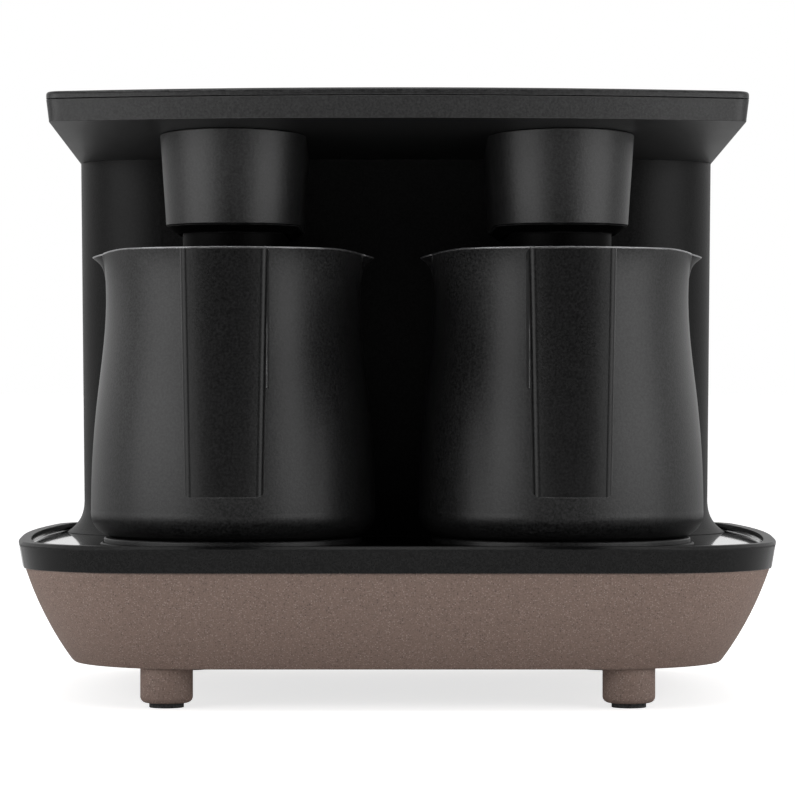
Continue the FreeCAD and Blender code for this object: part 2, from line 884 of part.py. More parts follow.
def make_handle_grip(side):
    grip = loft([handle_wire(handle_bottom_half_width, handle_bottom),
                 handle_wire(handle_top_half_width, handle_top)], True)
    front = station_y - handle_front
    reach = handle_top_half_width + 5 * cut_margin
    back = front + handle_thickness + cut_margin
    half_width = handle_bottom_half_width + handle_foot_margin
    foot = block(-reach, reach, front - cut_margin, back, handle_bottom, handle_top)
    outline = block(-half_width, half_width, front - cut_margin, back, handle_bottom, handle_top)
    lower = [edge for edge in outline.Edges
             if edge.BoundBox.ZMax < handle_bottom + 0.01 and edge.BoundBox.YLength > cut_margin]
    outline = outline.makeFillet(handle_foot_radius, lower)
    corner_cut = foot.cut(outline).common(
        block(-reach, reach, front - cut_margin, back, handle_bottom,
              handle_bottom + handle_foot_radius))
    grip = grip.cut(corner_cut)
    flange = block(-bracket_half_width, bracket_half_width, front + handle_thickness,
                   station_y - pot_neck_radius, handle_top - handle_flange, handle_top)
    grip = grip.fuse(flange.cut(pot_wall_clear(seat_gap)))
    start = handle_screw_start() - handle_screw_depth - fit_gap
    for z in handle_screw_heights():
        grip = grip.cut(rod(0, start, z, handle_screw_depth, handle_screw_radius + fit_gap))
    return at_station(grip.removeSplitter(), side)


def make_handle_bracket(side):
    """Pressed channel that carries the grip on the pot's wall, open at its lower end."""
    front = station_y - handle_front + handle_thickness + seat_gap
    top = handle_top - handle_flange - seat_gap
    back = station_y - pot_neck_radius
    body = block(-bracket_half_width, bracket_half_width, front, back, bracket_bottom, top)
    body = body.cut(pot_wall_clear(seat_gap))
    inside = bracket_half_width - bracket_wall
    rear_limit = station_y - pot_belly_radius - bracket_wall + cut_margin
    pocket = block(-inside, inside, front + bracket_plate, rear_limit,
                   bracket_bottom, top - bracket_wall)
    body = body.cut(pocket)
    for z in handle_screw_heights():
        body = body.cut(rod(0, front, z, bracket_plate, handle_screw_radius + fit_gap))
    return at_station(body, side)


def make_handle_screws(side):
    start = handle_screw_start()
    screws = []
    for z in handle_screw_heights():
        head = rod(0, start, z, handle_screw_head_height, handle_screw_head)
        shank = rod(0, start - handle_screw_depth, z, handle_screw_depth, handle_screw_radius)
        screws.append(head.fuse(shank))
    return at_station(Part.makeCompound(screws), side)


def build():
    parts = {}
    for place, (x, y) in foot_places().items():
        parts["foot_leg_" + place] = make_foot_leg(x, y)
        parts["foot_pad_" + place] = make_foot_pad(x, y)
    parts["base_tub"] = make_tub()
    parts["base_screws"] = make_base_screws()
    parts["deck"] = make_deck()
    parts["power_board"] = make_power_board()
    parts["terminal_block"] = make_terminal_block()
    parts["column_shell"] = make_column()
    parts["rear_cover"] = make_rear_cover()
    parts["rear_cover_screws"] = make_cover_screws()
    parts["cord_gland"] = make_cord_gland()
    parts["head_shell"] = make_head_shell()
    parts["top_cover"] = make_top_cover()
    parts["control_board"] = make_control_board()
    relay_y = power_board_y - relay_y_offset
    for side, sign in SIDES.items():
        parts["hotplate_" + side] = make_hotplate(side)
        parts["heater_" + side] = make_heater(side)
        parts["thermostat_" + side] = make_thermostat(side)
        parts["relay_" + side] = on_power_board(relay_size, sign * relay_offset, relay_y)
        parts["arm_" + side] = make_arm(side)
        parts["sensor_housing_" + side] = make_sensor_housing(side)
        parts["sensor_lens_" + side] = make_sensor_lens(side)
        parts["indicator_" + side] = make_indicator(side)
        for use, x in button_places(side).items():
            parts[use + "_button_" + side] = make_button(x)
            parts[use + "_switch_" + side] = make_switch(x)
        parts["pot_body_" + side] = make_pot_body(side)
        parts["handle_bracket_" + side] = make_handle_bracket(side)
        parts["handle_grip_" + side] = make_handle_grip(side)
        parts["handle_screws_" + side] = make_handle_screws(side)
    return parts


def main():
    os.makedirs("parts", exist_ok=True)
    for name, shape in build().items():
        print(name, len(shape.Solids), shape.isValid(), round(shape.Volume, 1))
        shape.exportStep("parts/" + name + ".step")


main()
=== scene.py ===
import json
import math

import bpy
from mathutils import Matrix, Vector


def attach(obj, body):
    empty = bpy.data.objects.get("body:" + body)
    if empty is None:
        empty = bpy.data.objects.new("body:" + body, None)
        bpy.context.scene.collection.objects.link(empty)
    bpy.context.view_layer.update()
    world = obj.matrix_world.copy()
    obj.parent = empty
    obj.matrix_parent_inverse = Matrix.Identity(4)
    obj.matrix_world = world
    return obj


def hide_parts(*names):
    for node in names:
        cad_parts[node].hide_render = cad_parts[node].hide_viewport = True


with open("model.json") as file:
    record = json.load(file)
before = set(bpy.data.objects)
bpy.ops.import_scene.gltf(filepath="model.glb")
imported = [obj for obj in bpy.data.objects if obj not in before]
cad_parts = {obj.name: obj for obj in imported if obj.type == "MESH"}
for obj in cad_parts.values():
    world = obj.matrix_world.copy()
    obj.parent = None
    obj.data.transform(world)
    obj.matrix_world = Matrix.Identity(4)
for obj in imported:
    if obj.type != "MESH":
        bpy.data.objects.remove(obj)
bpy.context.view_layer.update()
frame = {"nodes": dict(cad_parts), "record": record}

MM = 0.001
SIDES = ("left", "right")
NODES = frame["nodes"]

# Camera: the photograph is taken from the front, a little left of the middle,
# level with the middle of the pots, through a long lens. LENS_PIXELS is the focal
# length in the photograph's pixels, and LEVEL_POINT is where the level line of sight
# meets the picture, in pixels from its upper left corner.
PHOTO_WIDTH = 795
LENS_PIXELS = 3600.0
LEVEL_POINT = (380.0, 377.0)
EYE = Vector((-5.72, -1227.0, 106.5)) * MM
SENSOR = 36.0
NEAREST_SEEN = 0.01
FARTHEST_SEEN = 50.0

# Studio: a white backdrop behind, a dim room in front and a pale floor. FLOOR_SIZE is in
# metres; BACKDROP_START and BACKDROP_FULL are the Y part of a direction of length 1.
FLOOR_SIZE = 40.0
FLOOR_PAINT = (0.80, 0.80, 0.80, 1.0)
FLOOR_GLOW = 0.72
ROOM_LEVEL = 0.03
BACKDROP_LEVEL = 1.0
BACKDROP_START = -0.25
BACKDROP_FULL = 0.45

# Softboxes: place, the point they aim at and size, in metres, and how bright their cloth looks
SIDE_BOX = (0.85, 0.60)
SIDE_LIGHT = 2.6
SOFTBOXES = {
    "left_softbox": ((-0.76, -0.50, 0.22), (-0.05, -0.02, 0.12), SIDE_BOX, SIDE_LIGHT),
    "right_softbox": ((0.76, -0.50, 0.22), (0.05, -0.02, 0.12), SIDE_BOX, SIDE_LIGHT),
    "top_softbox": ((0.0, -0.35, 1.1), (0.0, 0.0, 0.1), (0.9, 0.5), 3.2),
}

# Places on the machine, in millimetres. The deck is polished up to POLISH_TOP, and its
# grain is full POLISH_FADE higher. A pot's coating starts to wear off its edges at
# RIM_WEAR_LOW and is worn from RIM_WEAR_HIGH; its rim's top faces are above RIM_LOW.
STATION_X = {"left": -54.6, "right": 54.6}
STATION_Y = -27.0
DECK_FLOOR = 50.8
POLISH_TOP = 51.2
POLISH_FADE = 0.8
HOTPLATE_TOP = 53.4
RIM_WEAR_LOW = 144.5
RIM_WEAR_HIGH = 146.2
RIM_LOW = 145.6
BUTTON_Y = -53.0
BUTTON_OFFSET = 13.5
BUTTON_DISH = 199.46
MARK_TOP = 199.74
REAR_SCREW_Y = 99.0
REAR_SCREWS_X = (-85.9, 85.9)
REAR_SCREWS_Z = (60.8, 173.0)
BASE_SCREW_Z = 14.9
BASE_SCREWS_X = (-88.0, 88.0)
BASE_SCREWS_Y = (-52.0, 66.0)

# How a noise from 0 to 1 becomes a lighter and darker tone: (from low, from high, to
# low, to high)
BLACK_TONE = (0.36, 0.64, 0.0, 2.4)
TAUPE_TONE = (0.3, 0.7, 0.72, 1.28)
DRAWN_TONE = (0.3, 0.7, 0.82, 1.1)

SMOOTH_ANGLE = math.radians(35)


# Shader node helpers

def node_at(tree, kind, at, **settings):
    """Adds a node at a place of the node picture, with its settings."""
    node = tree.nodes.new(kind)
    node.location = at
    for name, value in settings.items():
        setattr(node, name, value)
    return node


def wire(tree, source, target):
    tree.links.new(source, target)


def feed(tree, target, value):
    """Wires a source to the input, or sets the input to a plain value."""
    if hasattr(value, "is_output"):
        wire(tree, value, target)
    else:
        target.default_value = value


def new_group(name, inputs, outputs):
    """An empty shader node group with named inputs (name, kind, default) and outputs."""
    group = bpy.data.node_groups.new(name, "ShaderNodeTree")
    for label, kind, default in inputs:
        socket = group.interface.new_socket(label, in_out="INPUT", socket_type=kind)
        socket.default_value = default
    for label, kind in outputs:
        group.interface.new_socket(label, in_out="OUTPUT", socket_type=kind)
    start = node_at(group, "NodeGroupInput", (-900, 0))
    end = node_at(group, "NodeGroupOutput", (900, 0))
    return group, start, end


def math_node(tree, operation, at, first, second):
    node = node_at(tree, "ShaderNodeMath", at, operation=operation)
    feed(tree, node.inputs[0], first)
    feed(tree, node.inputs[1], second)
    return node.outputs[0]


def colour_mix(tree, at, factor, first, second):
    """The first colour where the factor is 0, the second where it is 1."""
    node = node_at(tree, "ShaderNodeMix", at, data_type="RGBA")
    feed(tree, node.inputs[0], factor)
    feed(tree, node.inputs[6], first)
    feed(tree, node.inputs[7], second)
    return node.outputs[2]


def spread(tree, at, value, low, high, new_low, new_high):
    """Stretches the span from low to high to the span from new_low to new_high."""
    node = node_at(tree, "ShaderNodeMapRange", at)
    wire(tree, value, node.inputs[0])
    for index, bound in enumerate((low, high, new_low, new_high), start=1):
        node.inputs[index].default_value = bound
    return node.outputs[0]


def object_place(tree, at):
    """Texture coordinates that belong to the piece."""
    return node_at(tree, "ShaderNodeTexCoord", at).outputs["Object"]


def noise(tree, at, place, scale, detail=2.0, roughness=0.5):
    node = node_at(tree, "ShaderNodeTexNoise", at)
    wire(tree, place, node.inputs["Vector"])
    feed(tree, node.inputs["Scale"], scale)
    node.inputs["Detail"].default_value = detail
    node.inputs["Roughness"].default_value = roughness
    return node.outputs["Fac"]


def shaded(tree, at, colour, tone):
    """The colour made lighter and darker by the tone."""
    node = node_at(tree, "ShaderNodeVectorMath", at, operation="SCALE")
    node.inputs[0].default_value = colour[:3]
    wire(tree, tone, node.inputs["Scale"])
    return node.outputs[0]


# Shared surface effects. GRAIN_GLITTER is how much the fine grain adds to the roughness.
# EDGE_BEND is how far a rounded normal agrees with the plain one where wear starts and
# where it is full. Specks have a share of the group's scale and a shift of their pattern.

GRAIN_GLITTER = 0.16
EDGE_BEND = (0.98, 0.80)
DARK_SPECKS = (1.0, 0.0)
PALE_SPECKS = (1.35, 7.3)


def make_moulded_grain():
    """Fine spark-eroded texture of moulded plastic: a height and a slow roughness drift."""
    group, start, end = new_group(
        "moulded_grain",
        [("Grain Scale", "NodeSocketFloat", 1800.0), ("Drift Scale", "NodeSocketFloat", 22.0),
         ("Roughness", "NodeSocketFloat", 0.5), ("Drift", "NodeSocketFloat", 0.05)],
        [("Height", "NodeSocketFloat"), ("Roughness", "NodeSocketFloat")])
    place = object_place(group, (-900, 300))
    fine = noise(group, (-600, 300), place, start.outputs["Grain Scale"], 4.0, 0.65)
    slow = noise(group, (-600, 0), place, start.outputs["Drift Scale"], 4.0)
    centred = math_node(group, "SUBTRACT", (-300, 0), slow, 0.5)
    swing = math_node(group, "MULTIPLY", (-100, 0), centred, start.outputs["Drift"])
    glitter = math_node(group, "MULTIPLY", (-100, 200), fine, GRAIN_GLITTER)
    total = math_node(group, "ADD", (100, 0), start.outputs["Roughness"], swing)
    total = math_node(group, "ADD", (300, 0), total, glitter)
    wire(group, fine, end.inputs["Height"])
    wire(group, total, end.inputs["Roughness"])
    return group


def make_edge_wear():
    """Mask that is 1 on worn, rubbed edges and 0 on open faces."""
    group, start, end = new_group(
        "edge_wear",
        [("Width", "NodeSocketFloat", 0.0008), ("Break-up", "NodeSocketFloat", 260.0)],
        [("Mask", "NodeSocketFloat")])
    rounded = node_at(group, "ShaderNodeBevel", (-600, 100), samples=4)
    wire(group, start.outputs["Width"], rounded.inputs["Radius"])
    plain = node_at(group, "ShaderNodeNewGeometry", (-600, -100))
    dot = node_at(group, "ShaderNodeVectorMath", (-400, 0), operation="DOT_PRODUCT")
    wire(group, rounded.outputs["Normal"], dot.inputs[0])
    wire(group, plain.outputs["Normal"], dot.inputs[1])
    edge = spread(group, (-200, 0), dot.outputs["Value"], *EDGE_BEND, 0.0, 1.0)
    place = object_place(group, (-900, -300))
    patches = noise(group, (-600, -300), place, start.outputs["Break-up"])
    broken = spread(group, (-200, -300), patches, 0.35, 0.65, 0.35, 1.0)
    wire(group, math_node(group, "MULTIPLY", (100, 0), edge, broken), end.inputs["Mask"])
    return group


def speck_mask(group, start, place, row, size, shift):
    """Round specks in some of the cells of a cell pattern."""
    low = -200 * row
    moved = node_at(group, "ShaderNodeVectorMath", (-700, low), operation="ADD")
    wire(group, place, moved.inputs[0])
    moved.inputs[1].default_value = (shift, shift, shift)
    scale = math_node(group, "MULTIPLY", (-700, low - 100), start.outputs["Scale"], size)
    cells = node_at(group, "ShaderNodeTexVoronoi", (-500, low))
    wire(group, moved.outputs[0], cells.inputs["Vector"])
    wire(group, scale, cells.inputs["Scale"])
    lot = node_at(group, "ShaderNodeSeparateColor", (-300, low))
    wire(group, cells.outputs["Color"], lot.inputs[0])
    chosen = math_node(group, "LESS_THAN", (-100, low), lot.outputs[0], start.outputs["Amount"])
    dot = spread(group, (-100, low - 300), cells.outputs["Distance"], 0.15, 0.5, 1.0, 0.0)
    return math_node(group, "MULTIPLY", (200, low), chosen, dot)


def make_specks():
    """Masks for the dark and pale specks in the base's moulding compound."""
    group, start, end = new_group(
        "moulding_specks",
        [("Scale", "NodeSocketFloat", 900.0), ("Amount", "NodeSocketFloat", 0.3)],
        [("Dark", "NodeSocketFloat"), ("Pale", "NodeSocketFloat"), ("Height", "NodeSocketFloat")])
    place = object_place(group, (-900, 300))
    for row, (label, specks) in enumerate((("Dark", DARK_SPECKS), ("Pale", PALE_SPECKS))):
        wire(group, speck_mask(group, start, place, row, *specks), end.inputs[label])
    grain = noise(group, (-500, -600), place, start.outputs["Scale"], 3.0)
    wire(group, grain, end.inputs["Height"])
    return group


def make_settled_dust():
    """Mask of the thin dust that settles on faces that look up."""
    group, start, end = new_group(
        "settled_dust",
        [("Amount", "NodeSocketFloat", 0.1), ("Scale", "NodeSocketFloat", 60.0)],
        [("Mask", "NodeSocketFloat")])
    plain = node_at(group, "ShaderNodeNewGeometry", (-700, 200))
    split = node_at(group, "ShaderNodeSeparateXYZ", (-500, 200))
    wire(group, plain.outputs["Normal"], split.inputs[0])
    upward = spread(group, (-300, 200), split.outputs["Z"], 0.5, 1.0, 0.0, 1.0)
    place = object_place(group, (-900, -100))
    cloud = noise(group, (-600, -100), place, start.outputs["Scale"], 6.0)
    patches = spread(group, (-300, -100), cloud, 0.3, 0.75, 0.2, 1.0)
    lying = math_node(group, "MULTIPLY", (0, 100), upward, patches)
    thin = math_node(group, "MULTIPLY", (200, 100), lying, start.outputs["Amount"])
    wire(group, thin, end.inputs["Mask"])
    return group


GRAIN = make_moulded_grain()
WEAR = make_edge_wear()
SPECKS = make_specks()
DUST = make_settled_dust()


def use_group(tree, group, at, **values):
    """Adds a shared effect; an underscore in a value's name stands for a space."""
    node = node_at(tree, "ShaderNodeGroup", at, node_tree=group)
    for label, value in values.items():
        node.inputs[label.replace("_", " ")].default_value = value
    return node


# Materials. Depths, widths and roundings are in millimetres.

def grey(level):
    return (level, level, level, 1.0)


def black(level):
    """Dark grey with a trace of blue."""
    return (level, level, level * 1.02, 1.0)


RUBBED = black(0.05)
BARE_STEEL = (0.62, 0.62, 0.63, 1.0)
DUST_COLOUR = (0.35, 0.34, 0.33, 1.0)
POLISHED_SHARE = 0.10

TAUPE = (0.218, 0.152, 0.125, 1.0)
TAUPE_DARK = (0.115, 0.080, 0.066, 1.0)
TAUPE_PALE = (0.38, 0.30, 0.26, 1.0)
TAUPE_RUBBED = (0.29, 0.23, 0.20, 1.0)

LENS_DARK = (0.030, 0.012, 0.012, 1.0)
LENS_PALE = (0.055, 0.020, 0.018, 1.0)

BOARD_DARK = (0.020, 0.110, 0.050, 1.0)
BOARD_PALE = (0.026, 0.135, 0.062, 1.0)
BOARD_TRACK = (0.050, 0.200, 0.090, 1.0)


def new_material(name):
    material = bpy.data.materials.new(name)
    material.use_nodes = True
    tree = material.node_tree
    tree.nodes.clear()
    shader = node_at(tree, "ShaderNodeBsdfPrincipled", (500, 0))
    output = node_at(tree, "ShaderNodeOutputMaterial", (800, 0))
    wire(tree, shader.outputs[0], output.inputs[0])
    return material, tree, shader


def bump(tree, shader, height, strength, depth, rounding=0.4):
    """Fine relief on top of edges that are broken by a small radius, so that they catch light."""
    edge = node_at(tree, "ShaderNodeBevel", (0, -450), samples=6)
    edge.inputs["Radius"].default_value = rounding * MM
    relief = node_at(tree, "ShaderNodeBump", (200, -300))
    wire(tree, edge.outputs[0], relief.inputs["Normal"])
    relief.inputs["Strength"].default_value = strength
    relief.inputs["Distance"].default_value = depth * MM
    wire(tree, height, relief.inputs["Height"])
    wire(tree, relief.outputs[0], shader.inputs["Normal"])


def height_mask(tree, low, high):
    """0 below the low height, 1 above the high one, both in millimetres."""
    split = node_at(tree, "ShaderNodeSeparateXYZ", (-800, 700))
    wire(tree, object_place(tree, (-1000, 700)), split.inputs[0])
    return spread(tree, (-600, 700), split.outputs["Z"], low * MM, high * MM, 0.0, 1.0)


def black_plastic(name, colour, roughness, drift, grain, depth, worn=RUBBED, dust=0.02,
                  shine=0.5, polished_below=None):
    """Moulded black plastic: eroded grain, roughness drift, rubbed edges and thin dust.

    Below the height polished_below the mould was polished, so the surface is glossy there.
    """
    material, tree, shader = new_material(name)
    texture = use_group(tree, GRAIN, (-400, -100), Grain_Scale=grain, Drift_Scale=18.0,
                        Roughness=roughness, Drift=drift)
    edge = use_group(tree, WEAR, (-400, 300), Width=0.6 * MM)
    film = use_group(tree, DUST, (-400, 500), Amount=dust)
    rough = texture.outputs["Roughness"]
    height = texture.outputs["Height"]
    shade = shaded(tree, (-50, 100), colour, spread(tree, (-200, 100), height, *BLACK_TONE))
    rubbed = colour_mix(tree, (150, 200), edge.outputs["Mask"], shade, worn)
    dusty = colour_mix(tree, (330, 200), film.outputs["Mask"], rubbed, DUST_COLOUR)
    if polished_below is not None:
        grained = height_mask(tree, polished_below, polished_below + POLISH_FADE)
        share = math_node(tree, "MAXIMUM", (0, -200), grained, POLISHED_SHARE)
        rough = math_node(tree, "MULTIPLY", (150, -100), rough, share)
        height = math_node(tree, "MULTIPLY", (0, -350), height, grained)
    wire(tree, dusty, shader.inputs["Base Color"])
    wire(tree, rough, shader.inputs["Roughness"])
    shader.inputs["Specular IOR Level"].default_value = shine
    bump(tree, shader, height, 0.5, depth)
    return material


def speckled_plastic(name):
    """The base's taupe compound with small dark and pale specks and a fine grain."""
    material, tree, shader = new_material(name)
    specks = use_group(tree, SPECKS, (-600, 0), Scale=1500.0, Amount=0.26)
    texture = use_group(tree, GRAIN, (-600, -300), Grain_Scale=2400.0, Drift_Scale=12.0,
                        Roughness=0.62, Drift=0.08)
    edge = use_group(tree, WEAR, (-600, 300), Width=0.7 * MM)
    tone = spread(tree, (-400, -300), texture.outputs["Height"], *TAUPE_TONE)
    base = shaded(tree, (-250, -100), TAUPE, tone)
    dark = colour_mix(tree, (-50, 0), specks.outputs["Dark"], base, TAUPE_DARK)
    pale = colour_mix(tree, (130, 0), specks.outputs["Pale"], dark, TAUPE_PALE)
    worn = colour_mix(tree, (310, 0), edge.outputs["Mask"], pale, TAUPE_RUBBED)
    wire(tree, worn, shader.inputs["Base Color"])
    wire(tree, texture.outputs["Roughness"], shader.inputs["Roughness"])
    bump(tree, shader, specks.outputs["Height"], 0.45, 0.12, rounding=1.2)
    return material


def coated_metal(name, colour, worn, roughness, worn_rim=None, shine=0.5):
    """Coated steel with edges rubbed bare.

    With worn_rim, a low and a high height, the edges are whole below and bare above them.
    """
    material, tree, shader = new_material(name)
    texture = use_group(tree, GRAIN, (-600, -200), Grain_Scale=1300.0, Drift_Scale=26.0,
                        Roughness=roughness, Drift=0.07)
    edge = use_group(tree, WEAR, (-600, 200), Width=0.5 * MM)
    bare = edge.outputs["Mask"]
    if worn_rim is not None:
        bare = math_node(tree, "MULTIPLY", (-300, 400), bare, height_mask(tree, *worn_rim))
    tone = spread(tree, (-400, 0), texture.outputs["Height"], *BLACK_TONE)
    shade = shaded(tree, (-250, 100), colour, tone)
    wire(tree, colour_mix(tree, (0, 200), bare, shade, worn), shader.inputs["Base Color"])
    wire(tree, bare, shader.inputs["Metallic"])
    wire(tree, texture.outputs["Roughness"], shader.inputs["Roughness"])
    shader.inputs["Specular IOR Level"].default_value = shine
    bump(tree, shader, texture.outputs["Height"], 0.45, 0.12)
    return material


def bare_metal(name, colour, roughness, brush=(1.0, 1.0, 30.0)):
    """Plated or sheathed steel with fine drawing lines."""
    material, tree, shader = new_material(name)
    mapping = node_at(tree, "ShaderNodeMapping", (-700, 0))
    mapping.inputs["Scale"].default_value = brush
    wire(tree, object_place(tree, (-900, 0)), mapping.inputs["Vector"])
    lines = noise(tree, (-500, 0), mapping.outputs[0], 420.0, 5.0)
    shade = shaded(tree, (-100, 100), colour, spread(tree, (-300, 100), lines, *DRAWN_TONE))
    rough = spread(tree, (-300, -100), lines, 0.2, 0.8, roughness - 0.08, roughness + 0.12)
    wire(tree, shade, shader.inputs["Base Color"])
    wire(tree, rough, shader.inputs["Roughness"])
    shader.inputs["Metallic"].default_value = 1.0
    bump(tree, shader, lines, 0.2, 0.03)
    return material


def smoked_window(name):
    """Dark red-black window over a sensor or a light."""
    material, tree, shader = new_material(name)
    texture = use_group(tree, GRAIN, (-300, 0), Grain_Scale=700.0, Drift_Scale=40.0,
                        Roughness=0.12, Drift=0.05)
    tone = colour_mix(tree, (100, 100), texture.outputs["Height"], LENS_DARK, LENS_PALE)
    wire(tree, tone, shader.inputs["Base Color"])
    wire(tree, texture.outputs["Roughness"], shader.inputs["Roughness"])
    shader.inputs["Coat Weight"].default_value = 0.6
    shader.inputs["Coat Roughness"].default_value = 0.05
    return material


def green_board(name):
    """Green laminate with the faint weave and tracks under its solder mask."""
    material, tree, shader = new_material(name)
    tracks = node_at(tree, "ShaderNodeTexBrick", (-600, 0))
    for label, value in (("Scale", 140.0), ("Mortar Size", 0.03), ("Color1", BOARD_DARK),
                         ("Color2", BOARD_PALE), ("Mortar", BOARD_TRACK)):
        tracks.inputs[label].default_value = value
    wire(tree, object_place(tree, (-900, 0)), tracks.inputs["Vector"])
    texture = use_group(tree, GRAIN, (-600, -300), Grain_Scale=1500.0, Drift_Scale=60.0,
                        Roughness=0.35, Drift=0.10)
    wire(tree, tracks.outputs["Color"], shader.inputs["Base Color"])
    wire(tree, texture.outputs["Roughness"], shader.inputs["Roughness"])
    bump(tree, shader, tracks.outputs["Fac"], 0.2, 0.04)
    return material


# Finishes of this machine: each maker with the looks that it makes

FINISH_MAKERS = (
    (black_plastic, {
        "satin_black": dict(colour=black(0.009), roughness=0.34, drift=0.08, grain=1300.0,
                            depth=0.14),
        # Darker, duller black: its darker colour is painted shade on the column, its rear cover
        # and the hotplate seals
        "column_black": dict(colour=black(0.003), roughness=0.38, drift=0.08, grain=1300.0,
                             depth=0.12, shine=0.16),
        "gloss_black": dict(colour=black(0.004), worn=grey(0.03), roughness=0.36, drift=0.05,
                            grain=1500.0, depth=0.12, dust=0.0, shine=0.22,
                            polished_below=POLISH_TOP),
        # Near-black, matt copy: its darker colour is painted shade on the sensor blocks under the
        # head
        "sensor_black": dict(colour=black(0.001), roughness=0.46, drift=0.08, grain=1500.0,
                             depth=0.04, shine=0.05),
        "button_black": dict(colour=black(0.010), roughness=0.22, drift=0.06, grain=1500.0,
                             depth=0.04),
        "grip_black": dict(colour=black(0.004), worn=grey(0.12), roughness=0.24, drift=0.06,
                           grain=1500.0, depth=0.08, dust=0.01, shine=0.26),
        "foot_rubber": dict(colour=black(0.020), roughness=0.70, drift=0.10, grain=1100.0,
                            depth=0.15, dust=0.15),
        "relay_plastic": dict(colour=black(0.030), roughness=0.36, drift=0.08, grain=1500.0,
                              depth=0.05),
        "mark_print": dict(colour=grey(0.34), worn=grey(0.24), roughness=0.45, drift=0.06,
                           grain=2400.0, depth=0.02),
    }),
    (coated_metal, {
        "hotplate_black": dict(colour=black(0.010), worn=grey(0.16), roughness=0.36),
        "pot_black": dict(colour=black(0.010), worn=BARE_STEEL, roughness=0.32,
                          worn_rim=(RIM_WEAR_LOW, RIM_WEAR_HIGH), shine=0.42),
        "bracket_steel": dict(colour=black(0.020), worn=grey(0.30), roughness=0.32),
    }),
    (bare_metal, {
        "rim_steel": dict(colour=(0.40, 0.40, 0.41), roughness=0.32, brush=(1.0, 1.0, 1.0)),
        "zinc_steel": dict(colour=(0.60, 0.60, 0.60), roughness=0.30),
        "heater_steel": dict(colour=(0.36, 0.34, 0.31), roughness=0.42),
    }),
    (speckled_plastic, {"speckled_taupe": {}}),
    (smoked_window, {"smoked_lens": {}}),
    (green_board, {"board_laminate": {}}),
)

FINISHES = {name: make(name, **look) for make, looks in FINISH_MAKERS
            for name, look in looks.items()}

# Pieces given darker, duller copies of their slot's finish. The darker colour is painted
# shade on the column, its rear cover and the sensor blocks
PAINTED_SHADE_FINISHES = {
    "column_shell": "column_black",
    "rear_cover": "column_black",
    "sensor_housing_left": "sensor_black",
    "sensor_housing_right": "sensor_black",
}


def dress_nodes():
    """Gives every carried-over node its record slot's finish, or the copy with painted shade."""
    slots = {part["node"]: part["material_slot"] for part in frame["record"]["subparts"]}
    for name, piece in NODES.items():
        piece.data.materials.clear()
        piece.data.materials.append(FINISHES[PAINTED_SHADE_FINISHES.get(name, slots[name])])


# Modelling helpers

def deselect_all():
    bpy.ops.object.select_all(action="DESELECT")


def take(piece):
    """Makes the piece the only one that is selected."""
    deselect_all()
    piece.select_set(True)
    bpy.context.view_layer.objects.active = piece


def pick(piece, test):
    """Opens the piece for editing with only the corners that pass the test selected."""
    take(piece)
    bpy.ops.object.mode_set(mode="EDIT")
    bpy.ops.mesh.select_mode(type="VERT")
    bpy.ops.mesh.select_all(action="DESELECT")
    bpy.ops.object.mode_set(mode="OBJECT")
    for corner in piece.data.vertices:
        corner.select = test(corner.co)
    bpy.ops.object.mode_set(mode="EDIT")


def close_editing():
    bpy.ops.object.mode_set(mode="OBJECT")


def apply_modifier(piece, kind, **settings):
    take(piece)
    modifier = piece.modifiers.new(kind.lower(), kind)
    for name, value in settings.items():
        setattr(modifier, name, value)
    bpy.ops.object.modifier_apply(modifier=modifier.name)


def fix_place(piece):
    """Moves the piece's place, turn and scale into its mesh."""
    take(piece)
    bpy.ops.object.transform_apply(location=True, rotation=True, scale=True)


def joined(pieces):
    take(pieces[0])
    for piece in pieces:
        piece.select_set(True)
    bpy.ops.object.join()
    return bpy.context.object


def copied(piece):
    twin = bpy.data.objects.new(piece.name, piece.data.copy())
    bpy.context.scene.collection.objects.link(twin)
    return twin


def settle(piece, name, body, finish):
    """Fixes the piece's place in its mesh, dresses it and hangs it on its body."""
    fix_place(piece)
    piece.name = name
    piece.data.name = name
    piece.data.materials.clear()
    piece.data.materials.append(FINISHES[finish])
    bpy.ops.object.shade_smooth_by_angle(angle=SMOOTH_ANGLE)
    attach(piece, body)


def round_bead(centre, radius, half_width, half_height):
    """Ring with a rounded, flattened section."""
    deselect_all()
    bpy.ops.mesh.primitive_torus_add(major_radius=radius * MM, minor_radius=half_width * MM,
                                     major_segments=96, minor_segments=12,
                                     location=Vector(centre) * MM)
    bead = bpy.context.object
    bead.scale.z = half_height / half_width
    return bead


def disc(radius, low, high):
    """Disc about the Z axis."""
    deselect_all()
    bpy.ops.mesh.primitive_cylinder_add(vertices=48, radius=radius * MM, depth=(high - low) * MM,
                                        location=(0, 0, (low + high) / 2 * MM))
    return bpy.context.object


def rounded_disc(radius, low, high, edge):
    """Disc about the Z axis with its upper rim rounded."""
    piece = disc(radius, low, high)
    pick(piece, lambda corner: corner.z > 0)
    bpy.ops.mesh.bevel(offset=edge * MM, segments=3, affect="EDGES")
    close_editing()
    return piece


def bar(length, width, low, high):
    """Straight block along X, centred on the Z axis."""
    deselect_all()
    bpy.ops.mesh.primitive_cube_add(size=1.0, location=(0, 0, (low + high) / 2 * MM),
                                    scale=(length * MM, width * MM, (high - low) * MM))
    return bpy.context.object


# Screws with a cross recess, in place of the plain ones: head radius and height, shank
# radius and length. The head's rounding and the recess's floor are shares of the head's
# height, and the recess's slots are shares of its radius.

REAR_SCREW = (2.9, 1.0, 1.4, 8.0)
BASE_SCREW = (3.0, 1.6, 1.4, 33.0)
HEAD_ROUNDING = 0.45
RECESS_FLOOR = 0.35
SLOT_LENGTH = 1.15
SLOT_WIDTH = 0.28
SHANK_LAP = 0.05


